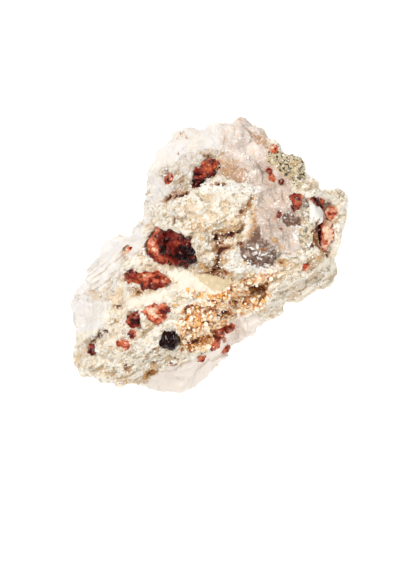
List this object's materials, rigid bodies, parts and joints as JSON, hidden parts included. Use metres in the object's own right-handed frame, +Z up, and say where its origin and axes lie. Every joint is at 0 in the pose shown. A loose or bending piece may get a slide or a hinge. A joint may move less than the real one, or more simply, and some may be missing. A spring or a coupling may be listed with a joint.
{
  "type": "garnet on matrix",
  "caption": "Mineral specimen: red garnet crystals in a broken lump of white feldspar, grey quartz and ochre crumbs.",
  "frame": {"origin": "under the middle of the specimen, on the flat foot that it lies on", "axes": "+Z up from the foot, towards the face that shows the garnets; +Y towards the high end; +X to the right, seen from above with +Y at the top"},
  "size_m": [0.0441, 0.0439, 0.0248],
  "materials": {
    "matrix": "broken white feldspar and milky grey quartz, stained ochre in the cracks",
    "garnet": "glassy dark red to orange-red garnet with broken faces",
    "black_garnet": "glassy garnet so dark that it looks black, with a purple sheen",
    "peach_garnet": "dull, crumbled pink-orange garnet",
    "crumbs": "sugary ochre grains in the trough",
    "flecks": "white feldspar crust and flecks on the quartz"
  },
  "bodies": {
    "root": {"matrix": "matrix", "big_garnet": "garnet", "upper_garnets": "garnet", "left_garnet": "garnet", "shelf_garnets": "garnet", "dark_garnet": "black_garnet", "ring_garnet": "garnet", "black_garnet": "black_garnet", "red_bead_garnet": "garnet", "corner_garnet": "garnet", "brown_garnets": "garnet", "slim_garnet": "garnet", "right_garnet": "garnet", "blade_garnet": "garnet", "rim_garnet": "garnet", "peach_garnet": "peach_garnet", "quartz_garnet_1": "garnet", "quartz_garnet_2": "garnet", "quartz_garnet_3": "garnet", "quartz_garnet_4": "garnet", "orange_garnet": "garnet", "back_garnet": "garnet", "slab_garnet_1": "garnet", "slab_garnet_2": "garnet", "slab_garnet_3": "garnet", "slab_garnet_4": "garnet", "resin_garnet": "garnet"}
  },
  "joints": []
}
